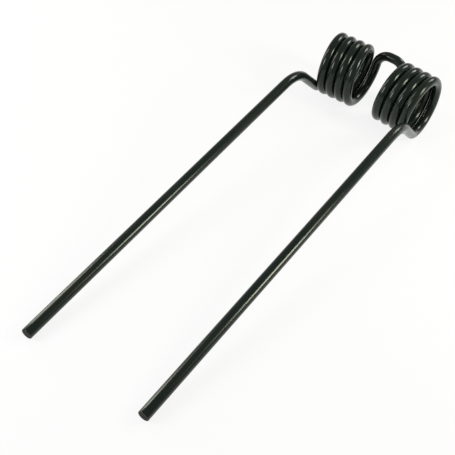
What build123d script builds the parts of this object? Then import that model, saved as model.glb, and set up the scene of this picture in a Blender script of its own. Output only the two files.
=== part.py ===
from build123d import *
from math import asin, atan2, cos, degrees, hypot, radians, sin, tan
import os

# Double torsion spring tine: one length of round spring steel wire.
#
# Two coils of opposite hand stand side by side, joined by a U-shaped bridge.
# The outer end of each coil runs up past the front of its turns and bends into
# a long straight leg. The spring lies as it comes to rest: on the lowest turns
# of its coils and on the ends of its legs, with the legs pointing along -Y.

# Wire
wire_diameter = 6.0
cut_end_round = 0.35  # the edge of each cut end is slightly rounded

# Coils
coil_inner_diameter = 28.9
turn_gap = 0.2  # clear space between one turn and the next
full_turns = 4
coil_sweep = 2.6  # degrees by which each coil's axis leans towards the legs

# Bridge between the coils
bridge_span = 17.7  # from one coil's last wire centre to the other's
bridge_angle = 82.4  # degrees round the coil from its lowest point, at the back
bridge_rise = 10.5  # from the coil to the corner of the bridge
bridge_bend_radius = 8.0

# Legs
tail_angle = 47.0  # degrees round the coil from its lowest point, at the front
tail_run = 24.2  # straight wire between the coil and the bend of the leg
leg_bend_radius = 32.8
leg_length = 223.0  # straight part
leg_toe_in = 0.35  # degrees by which each leg leans towards the other

coil_radius = (coil_inner_diameter + wire_diameter) / 2
coil_pitch = wire_diameter + turn_gap


def coil_direction(angle):
    """Direction from a coil's axis to its wire, by the angle from its lowest point."""
    level = Vector(0, sin(radians(angle)), -cos(radians(angle)))
    return level.rotate(Axis.Z, -coil_sweep)


def setback(radius, arriving, leaving):
    """Length of straight line that a bend takes off each side of its corner."""
    return radius * tan(radians(arriving.get_angle(leaving)) / 2)


# Path of the right half, with the axis of the coil at Z = 0 and the leg level.
# The coil starts at the bridge and winds down the back of the spring.
coil_axis = Vector(1, 0, 0).rotate(Axis.Z, -coil_sweep)
turns = full_turns + (bridge_angle + tail_angle) / 360
coil_plane = Plane(coil_axis * bridge_span / 2, coil_direction(bridge_angle), coil_axis)
coil = coil_plane.location * Helix(coil_pitch, coil_pitch * turns, coil_radius, lefthand=True)

bridge_corner = coil @ 0 - (coil % 0) * bridge_rise
bridge_middle = Vector(0, bridge_corner.Y, bridge_corner.Z)

leg_direction = Vector(0, -1, 0).rotate(Axis.Z, -leg_toe_in)
leg_setback = setback(leg_bend_radius, coil % 1, leg_direction)
leg_corner = coil @ 1 + (coil % 1) * (tail_run + leg_setback)
leg_end = leg_corner + leg_direction * (leg_setback + leg_length)

with BuildPart() as right_half:
    with BuildLine() as wire_path:
        FilletPolyline(bridge_middle, bridge_corner, coil @ 0, radius=bridge_bend_radius)
        add(coil)
        FilletPolyline(coil @ 1, leg_corner, leg_end, radius=leg_bend_radius)
    with BuildSketch(Plane(bridge_middle, z_dir=Vector(1, 0, 0))):
        Circle(wire_diameter / 2)
    sweep()
    cut_end = right_half.faces().sort_by(Axis.Y)[0]
    fillet(cut_end.edges(), cut_end_round)

# Lying pose: the legs slope down by the angle at which one level plane touches
# both the lowest outer turn of the coil and the rounded edge of the cut end
lowest_turn = coil_axis * (bridge_span / 2 + coil_pitch * (full_turns + bridge_angle / 360))
end_edge = leg_end + Vector(0, cut_end_round, cut_end_round - wire_diameter / 2)
reach = end_edge - lowest_turn
contact_drop = coil_radius + wire_diameter / 2 - cut_end_round
slope = degrees(atan2(reach.Z, -reach.Y) + asin(contact_drop / hypot(reach.Y, reach.Z)))

lying = right_half.part.rotate(Axis.X, slope)
extent = lying.bounding_box(optimal=True)
bottom_centre = Vector(0, extent.center().Y, extent.min.Z)

with BuildPart() as spring_wire:
    add(lying.translate(-bottom_centre))
    mirror(about=Plane.YZ)

os.makedirs("parts", exist_ok=True)
spring_wire.part.label = "spring_wire"
export_step(spring_wire.part, "parts/spring_wire.step")
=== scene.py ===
from math import acos, cos, pi, radians, sin, tan

import bpy
from mathutils import Matrix, Vector


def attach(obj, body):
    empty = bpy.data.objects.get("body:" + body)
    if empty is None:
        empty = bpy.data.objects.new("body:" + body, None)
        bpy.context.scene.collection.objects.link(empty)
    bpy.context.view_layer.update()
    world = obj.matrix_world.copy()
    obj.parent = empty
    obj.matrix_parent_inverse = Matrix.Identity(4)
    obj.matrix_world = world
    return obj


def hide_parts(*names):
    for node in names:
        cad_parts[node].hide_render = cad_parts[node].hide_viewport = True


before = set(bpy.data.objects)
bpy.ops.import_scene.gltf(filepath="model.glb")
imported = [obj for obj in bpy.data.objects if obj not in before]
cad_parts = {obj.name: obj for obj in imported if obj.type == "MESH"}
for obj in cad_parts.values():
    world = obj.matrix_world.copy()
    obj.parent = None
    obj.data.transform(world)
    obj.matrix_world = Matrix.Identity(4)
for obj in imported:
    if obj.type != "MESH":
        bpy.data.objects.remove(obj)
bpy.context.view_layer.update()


# The bent wire
#
# One length of round spring steel wire, 6 mm thick, bent cold and then painted.
# The middle is a U-shaped bridge, each side of it is wound into a coil of about
# four turns, and each outer end runs up past the front of its coil into a leg.
wire_radius = 3.0
cut_end_round = 0.35
coil_radius = 17.45
coil_pitch = 6.2
coil_sweep = radians(2.6)
full_turns = 4
bridge_span = 17.7
bridge_angle = radians(82.4)
bridge_rise = 10.5
bridge_bend_radius = 8.0
tail_angle = radians(47.0)
tail_run = 24.2
leg_bend_radius = 32.8
leg_length = 223.0
leg_toe_in = radians(0.35)
wire_sides = 36
# The spring rests on its lowest turns and its leg ends, so the legs slope down, and
# the middle of the coils' axes stands this far back and up.
lying_slope = radians(6.977942)
axis_place = Vector((0, 128.963511, 20.643662))


def swung(vector, angle):
    """A vector turned about the upright axis."""
    return Matrix.Rotation(angle, 3, "Z") @ vector


def along_coil(turn, distance):
    """A wire centre on the coil, by the angle from its lowest point and the way along the axis."""
    from_axis = Vector((0, coil_radius * sin(turn), -coil_radius * cos(turn)))
    return swung(from_axis + Vector((distance, 0, 0)), -coil_sweep)


def coil_heading(turn):
    """The way the wire runs there, winding out from the bridge."""
    heading = Vector((coil_pitch / (2 * pi), -coil_radius * cos(turn), -coil_radius * sin(turn)))
    return swung(heading.normalized(), -coil_sweep)


def rounded(start, corner, end, radius, step):
    """Points of the arc that joins the lines start to corner and corner to end."""
    arriving = (corner - start).normalized()
    leaving = (end - corner).normalized()
    turn = acos(arriving.dot(leaving))
    first = corner - arriving * radius * tan(turn / 2)
    inward = (leaving - arriving).normalized()
    centre = corner + inward * radius / cos(turn / 2)
    spoke = (first - centre).normalized()
    count = max(2, int(turn / step) + 1)
    angles = [turn * i / count for i in range(count + 1)]
    return [centre + (spoke * cos(a) + arriving * sin(a)) * radius for a in angles]


# Wire centres of the right half in mm, from the bridge out, with the coil's axis at
# the origin's height and the leg level.
turns_end = -tail_angle
turns_start = bridge_angle + 2 * pi * full_turns
coil_pieces = 560
coil_points = []
for i in range(coil_pieces + 1):
    turn = turns_start + (turns_end - turns_start) * i / coil_pieces
    distance = bridge_span / 2 + coil_pitch * (turns_start - turn) / (2 * pi)
    coil_points.append(along_coil(turn, distance))

bridge_corner = coil_points[0] - coil_heading(turns_start) * bridge_rise
bridge_middle = Vector((0, bridge_corner.y, bridge_corner.z))
bridge_bend_step = radians(3)
bridge_points = rounded(
    bridge_middle, bridge_corner, coil_points[0], bridge_bend_radius, bridge_bend_step
)

tail_heading = coil_heading(turns_end)
leg_heading = swung(Vector((0, -1, 0)), -leg_toe_in)
leg_setback = leg_bend_radius * tan(tail_heading.angle(leg_heading) / 2)
leg_corner = coil_points[-1] + tail_heading * (tail_run + leg_setback)
leg_end = leg_corner + leg_heading * (leg_setback + leg_length)
leg_bend_step = radians(2)
leg_bend = rounded(coil_points[-1], leg_corner, leg_end, leg_bend_radius, leg_bend_step)
tail_pieces = 10
tail_points = [coil_points[-1].lerp(leg_bend[0], i / tail_pieces) for i in range(1, tail_pieces)]
leg_start = leg_bend[-1]

# The edge of the cut end is slightly rounded, so the last points also carry the
# share of the full wire radius that is left there.
leg_pieces = 40
edge_pieces = 6
leg_points = []
for i in range(1, leg_pieces):
    leg_points.append((leg_start.lerp(leg_end, i / leg_pieces), 1.0))
for i in range(edge_pieces + 1):
    round_turn = i * pi / 2 / edge_pieces
    from_end = cut_end_round * (1 - sin(round_turn))
    share = 1 - cut_end_round * (1 - cos(round_turn)) / wire_radius
    leg_points.append((leg_end - leg_heading * from_end, share))

# The right half is laid down in metres as the spring rests, and the left half is its
# mirror image.
full_wire = bridge_points + coil_points[1:] + tail_points + leg_bend
half = [(p, 1.0) for p in full_wire] + leg_points
lying_turn = Matrix.Rotation(lying_slope, 3, "X")
half = [((lying_turn @ p + axis_place) / 1000, share) for p, share in half]
other_half = [(Vector((-p.x, p.y, p.z)), share) for p, share in reversed(half)]
route = other_half + half

wire_path = bpy.data.curves.new("spring_wire_path", "CURVE")
wire_path.dimensions = "3D"
spline = wire_path.splines.new("POLY")
spline.points.add(len(route) - 1)
for point, (place, share) in zip(spline.points, route):
    point.co = (*place, 1)
    point.radius = share
bent_wire = bpy.data.objects.new("bent_wire", wire_path)
bpy.context.scene.collection.objects.link(bent_wire)


def add_node(tree, kind, inputs=None, **settings):
    """Adds a node, with its settings, and with its inputs set or linked."""
    node = tree.nodes.new(kind)
    for name, value in settings.items():
        setattr(node, name, value)
    for socket, value in (inputs or {}).items():
        if isinstance(value, bpy.types.NodeSocket):
            tree.links.new(value, node.inputs[socket])
        else:
            node.inputs[socket].default_value = value
    return node


def linear(code):
    """Turns an sRGB hex colour into the linear one that a shader takes."""
    channels = [int(code[i : i + 2], 16) / 255 for i in (1, 3, 5)]
    curved = [c / 12.92 if c <= 0.04045 else ((c + 0.055) / 1.055) ** 2.4 for c in channels]
    return (*curved, 1.0)


# Black stoving enamel, dipped and baked on: a gloss coat that is nearly black with
# a green cast, and a shade lighter and duller where it ran thin. The wire is given
# its own coordinates in mm, two across its section and the third along its length,
# so that what the drawing die and the dipping left behind follows every bend.
enamel = bpy.data.materials.new("black_stoving_enamel")
enamel.use_nodes = True
shader_tree = enamel.node_tree
shader_tree.nodes.clear()
wire_place = add_node(shader_tree, "ShaderNodeAttribute", attribute_name="wire_place")
cut_face = add_node(shader_tree, "ShaderNodeAttribute", attribute_name="cut_face")

# The coat drains along the wire while it is wet, so its patches are longer than
# they are wide.
patch_width = 9.0
patch_length = 27.0
drained = add_node(
    shader_tree,
    "ShaderNodeVectorMath",
    {0: wire_place.outputs["Vector"], 1: (1 / patch_width, 1 / patch_width, 1 / patch_length)},
    operation="MULTIPLY",
)
thickness = add_node(
    shader_tree,
    "ShaderNodeTexNoise",
    {"Vector": drained.outputs["Vector"], "Scale": 1.0, "Detail": 3.0, "Roughness": 0.55},
)
coat_colour = add_node(shader_tree, "ShaderNodeValToRGB", {"Fac": thickness.outputs["Fac"]})
coat_colour.color_ramp.elements[0].position = 0.32
coat_colour.color_ramp.elements[0].color = linear("#1A201A")
coat_colour.color_ramp.elements[1].position = 0.68
coat_colour.color_ramp.elements[1].color = linear("#101B18")

# Orange peel: a faint ripple that the baked coat keeps.
peel_width = 2.2
peel = add_node(
    shader_tree,
    "ShaderNodeTexNoise",
    {"Vector": wire_place.outputs["Vector"], "Scale": 1 / peel_width, "Detail": 1.0},
)
# The wire isn't perfectly straight or round, and has slow waves.
wave_width = 12.0
wave_length = 30.0
slow = add_node(
    shader_tree,
    "ShaderNodeVectorMath",
    {0: wire_place.outputs["Vector"], 1: (1 / wave_width, 1 / wave_width, 1 / wave_length)},
    operation="MULTIPLY",
)
waves = add_node(
    shader_tree, "ShaderNodeTexNoise", {"Vector": slow.outputs["Vector"], "Scale": 1.0}
)
# The drawing die leaves fine lines along the wire, about 0.1 mm apart. They are
# drawn 0.7 mm apart so that they show, and the coat nearly fills them.
line_spacing = 0.7
line_length = 45.0
lengthwise = add_node(
    shader_tree,
    "ShaderNodeVectorMath",
    {0: wire_place.outputs["Vector"], 1: (1 / line_spacing, 1 / line_spacing, 1 / line_length)},
    operation="MULTIPLY",
)
die_lines = add_node(
    shader_tree,
    "ShaderNodeTexNoise",
    {"Vector": lengthwise.outputs["Vector"], "Scale": 1.0, "Detail": 2.0},
)
# Dust that settled on the wet coat. Its nibs fall away from 0.12 to 0.36 mm out,
# and are some 6 mm apart.
nib_spacing = 6.0
nib_cells = add_node(
    shader_tree,
    "ShaderNodeTexVoronoi",
    {"Vector": wire_place.outputs["Vector"], "Scale": 1 / nib_spacing},
)
nibs = add_node(
    shader_tree,
    "ShaderNodeMapRange",
    {
        "Value": nib_cells.outputs["Distance"],
        "From Min": 0.02,
        "From Max": 0.06,
        "To Min": 1.0,
        "To Max": 0.0,
    },
)
# A sheared face is torn into rough ridges, which the coat softens.
ridge_spacing = 0.6
ridges = add_node(
    shader_tree,
    "ShaderNodeTexWave",
    {"Vector": wire_place.outputs["Vector"], "Scale": 1 / ridge_spacing / pi, "Distortion": 3.0},
    bands_direction="Y",
)
ridge_height = add_node(
    shader_tree,
    "ShaderNodeMath",
    {0: ridges.outputs["Fac"], 1: cut_face.outputs["Fac"]},
    operation="MULTIPLY",
)

# Each mark is as high as this in mm.
bump = None
for height, size in (
    (waves.outputs["Fac"], 0.04),
    (peel.outputs["Fac"], 0.004),
    (die_lines.outputs["Fac"], 0.0015),
    (nibs.outputs["Result"], 0.02),
    (ridge_height.outputs["Value"], 0.1),
):
    inputs = {"Height": height, "Distance": size / 1000}
    if bump:
        inputs["Normal"] = bump.outputs["Normal"]
    bump = add_node(shader_tree, "ShaderNodeBump", inputs)

# Baked enamel is glossy where it is thick, and the torn cut face is nearly matte.
thin_roughness = 0.24
thick_roughness = 0.16
cut_roughness = 0.7
gloss = add_node(
    shader_tree,
    "ShaderNodeMapRange",
    {
        "Value": thickness.outputs["Fac"],
        "From Min": 0.3,
        "From Max": 0.7,
        "To Min": thin_roughness,
        "To Max": thick_roughness,
    },
)
roughness = add_node(
    shader_tree,
    "ShaderNodeMix",
    {0: cut_face.outputs["Fac"], 2: gloss.outputs["Result"], 3: cut_roughness},
)
# Painted shade: the torn face is given a darker colour than the round, standing in for the light
# that its ridges hold.
cut_face_shaded_colour = add_node(
    shader_tree,
    "ShaderNodeMix",
    {0: cut_face.outputs["Fac"], 6: coat_colour.outputs["Color"], 7: linear("#060806")},
    data_type="RGBA",
)
# Baked enamel has an IOR of 1.4 to 1.5, and its reflections have a faint green cast.
surface = add_node(
    shader_tree,
    "ShaderNodeBsdfPrincipled",
    {
        "Base Color": cut_face_shaded_colour.outputs[2],
        "Roughness": roughness.outputs[0],
        "IOR": 1.42,
        "Specular Tint": linear("#E6F2E4"),
        "Normal": bump.outputs["Normal"],
    },
)
add_node(shader_tree, "ShaderNodeOutputMaterial", {"Surface": surface.outputs["BSDF"]})

# The tree draws a round section along the path, notes each point's place on the
# wire, and marks the two flat faces where the wire was sheared off. They are the
# only faces as large as this, in square metres.
smallest_cut_face = 15e-6
wire_tree = bpy.data.node_groups.new("drawn_wire", "GeometryNodeTree")
face = wire_tree.interface
face.new_socket("Geometry", in_out="INPUT", socket_type="NodeSocketGeometry")
radius_socket = face.new_socket("Wire Radius", in_out="INPUT", socket_type="NodeSocketFloat")
sides_socket = face.new_socket("Sides", in_out="INPUT", socket_type="NodeSocketInt")
coat_socket = face.new_socket("Coat", in_out="INPUT", socket_type="NodeSocketMaterial")
face.new_socket("Geometry", in_out="OUTPUT", socket_type="NodeSocketGeometry")
given = add_node(wire_tree, "NodeGroupInput")
section = add_node(
    wire_tree,
    "GeometryNodeCurvePrimitiveCircle",
    {"Resolution": given.outputs["Sides"], "Radius": given.outputs["Wire Radius"]},
)
section_place = add_node(wire_tree, "GeometryNodeInputPosition")
section_noted = add_node(
    wire_tree,
    "GeometryNodeCaptureAttribute",
    {"Geometry": section.outputs["Curve"]},
)
section_noted.capture_items.new("VECTOR", "Across")
wire_tree.links.new(section_place.outputs["Position"], section_noted.inputs["Across"])
run = add_node(wire_tree, "GeometryNodeSplineParameter")
run_noted = add_node(
    wire_tree, "GeometryNodeCaptureAttribute", {"Geometry": given.outputs["Geometry"]}
)
run_noted.capture_items.new("FLOAT", "Along")
wire_tree.links.new(run.outputs["Length"], run_noted.inputs["Along"])
taper = add_node(wire_tree, "GeometryNodeInputRadius")
drawn = add_node(
    wire_tree,
    "GeometryNodeCurveToMesh",
    {
        "Curve": run_noted.outputs["Geometry"],
        "Profile Curve": section_noted.outputs["Geometry"],
        "Scale": taper.outputs["Radius"],
        "Fill Caps": True,
    },
)
across = add_node(
    wire_tree, "ShaderNodeSeparateXYZ", {"Vector": section_noted.outputs["Across"]}
)
joined = add_node(
    wire_tree,
    "ShaderNodeCombineXYZ",
    {"X": across.outputs["X"], "Y": across.outputs["Y"], "Z": run_noted.outputs["Along"]},
)
in_mm = add_node(
    wire_tree,
    "ShaderNodeVectorMath",
    {0: joined.outputs["Vector"], "Scale": 1000.0},
    operation="SCALE",
)
placed = add_node(
    wire_tree,
    "GeometryNodeStoreNamedAttribute",
    {
        "Geometry": drawn.outputs["Mesh"],
        "Name": "wire_place",
        "Value": in_mm.outputs["Vector"],
    },
    data_type="FLOAT_VECTOR",
    domain="POINT",
)
face_size = add_node(wire_tree, "GeometryNodeInputMeshFaceArea")
is_cut_face = add_node(
    wire_tree,
    "ShaderNodeMath",
    {0: face_size.outputs["Area"], 1: smallest_cut_face},
    operation="GREATER_THAN",
)
marked = add_node(
    wire_tree,
    "GeometryNodeStoreNamedAttribute",
    {
        "Geometry": placed.outputs["Geometry"],
        "Name": "cut_face",
        "Value": is_cut_face.outputs["Value"],
    },
    data_type="FLOAT",
    domain="FACE",
)
smooth = add_node(
    wire_tree, "GeometryNodeSetShadeSmooth", {"Geometry": marked.outputs["Geometry"]}
)
flat_ends = add_node(
    wire_tree,
    "GeometryNodeSetShadeSmooth",
    {
        "Geometry": smooth.outputs["Geometry"],
        "Selection": is_cut_face.outputs["Value"],
        "Shade Smooth": False,
    },
)
realized = add_node(
    wire_tree, "GeometryNodeRealizeInstances", {"Geometry": flat_ends.outputs["Geometry"]}
)
coated = add_node(
    wire_tree,
    "GeometryNodeSetMaterial",
    {"Geometry": realized.outputs["Geometry"], "Material": given.outputs["Coat"]},
)
add_node(wire_tree, "NodeGroupOutput", {"Geometry": coated.outputs["Geometry"]})

drawing = bent_wire.modifiers.new("drawn_wire", "NODES")
drawing.node_group = wire_tree
drawing[radius_socket.identifier] = wire_radius / 1000
drawing[sides_socket.identifier] = wire_sides
drawing[coat_socket.identifier] = enamel
evaluated = bent_wire.evaluated_get(bpy.context.evaluated_depsgraph_get())
wire_mesh = bpy.data.meshes.new_from_object(evaluated)
bpy.data.objects.remove(bent_wire)
spring = bpy.data.objects.new("painted_spring", wire_mesh)
bpy.context.scene.collection.objects.link(spring)

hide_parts("spring_wire")
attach(spring, "root")


# The floor
#
# A plain sheet of matte white paper that the spring lies on. It takes the spring's
# shadow, and it is brought most of the way to white where it is seen or reflected.
floor_mesh = bpy.data.meshes.new("white_sheet")
reach = 40.0
white_share = 0.85
floor_corners = [(-reach, -reach, 0), (reach, -reach, 0), (reach, reach, 0), (-reach, reach, 0)]
floor_mesh.from_pydata(floor_corners, [], [(0, 1, 2, 3)])
floor = bpy.data.objects.new("white_sheet", floor_mesh)
bpy.context.scene.collection.objects.link(floor)
paper = bpy.data.materials.new("white_paper")
paper.use_nodes = True
paper_tree = paper.node_tree
paper_tree.nodes.clear()
matte = add_node(paper_tree, "ShaderNodeBsdfDiffuse", {"Color": linear("#F5F6F7")})
white = add_node(paper_tree, "ShaderNodeEmission", {"Strength": 1.0})
ray = add_node(paper_tree, "ShaderNodeLightPath")
mirrored = add_node(
    paper_tree,
    "ShaderNodeMath",
    {0: ray.outputs["Is Glossy Ray"], 1: ray.outputs["Is Transmission Ray"]},
    operation="MAXIMUM",
)
seen = add_node(
    paper_tree,
    "ShaderNodeMath",
    {0: ray.outputs["Is Camera Ray"], 1: mirrored.outputs["Value"]},
    operation="MAXIMUM",
)
whitened = add_node(
    paper_tree,
    "ShaderNodeMath",
    {0: seen.outputs["Value"], 1: white_share},
    operation="MULTIPLY",
)
sheet = add_node(
    paper_tree,
    "ShaderNodeMixShader",
    {0: whitened.outputs["Value"], 1: matte.outputs["BSDF"], 2: white.outputs["Emission"]},
)
add_node(paper_tree, "ShaderNodeOutputMaterial", {"Surface": sheet.outputs["Shader"]})
floor_mesh.materials.append(paper)


# The lamps
#
# Four soft boxes stand round the spring and face it. A dim even light from all
# sides fills in between them.
world = bpy.data.worlds.new("studio")
bpy.context.scene.world = world
world.use_nodes = True
world_tree = world.node_tree
world_tree.nodes.clear()
dome = add_node(
    world_tree, "ShaderNodeBackground", {"Color": (1, 1, 1, 1), "Strength": 0.3}
)
add_node(world_tree, "ShaderNodeOutputWorld", {"Surface": dome.outputs["Background"]})


def soft_box(name, place, size, radiance, colour):
    """A lamp of a width and height in metres, at a place, that faces the spring."""
    lamp = bpy.data.lights.new(name, "AREA")
    lamp.shape = "RECTANGLE"
    lamp.size, lamp.size_y = size
    lamp.energy = radiance * pi * size[0] * size[1]
    lamp.color = linear(colour)[:3]
    holder = bpy.data.objects.new(name, lamp)
    holder.location = place
    holder.rotation_euler = (spring_middle - Vector(place)).to_track_quat("-Z", "Y").to_euler()
    bpy.context.scene.collection.objects.link(holder)


spring_middle = Vector((0, 0.06, 0.02))
soft_box("right_lamp", (0.339, 0.161, 0.248), (0.10, 0.17), 20, "#FFF8EA")
soft_box("back_lamp", (0.119, 0.517, 0.309), (0.14, 0.19), 9.0, "#FFFAEE")
soft_box("left_lamp", (-0.456, 0.037, 0.216), (0.09, 0.35), 8.5, "#FFFAEE")
soft_box("front_lamp", (-0.270, -0.359, 0.257), (0.17, 0.20), 12, "#FFFFFF")


# The camera
#
# It stands in front of the spring, to the right, and looks down on it at 44 degrees.
# Its place and the way it is turned are in the frame of the spring.
lens = bpy.data.cameras.new("camera")
lens.sensor_width = 36
lens.lens = 70.8698
camera = bpy.data.objects.new("camera", lens)
right = Vector((0.81228, 0.56817, 0.13186))
up = Vector((-0.48120, 0.52503, 0.70199))
back = right.cross(up).normalized()
turned = Matrix((right, up, back)).transposed().to_4x4()
camera.matrix_world = Matrix.Translation((0.15487, -0.33380, 0.34216)) @ turned
bpy.context.scene.collection.objects.link(camera)
bpy.context.scene.camera = camera
bpy.context.scene.view_settings.view_transform = "Standard"
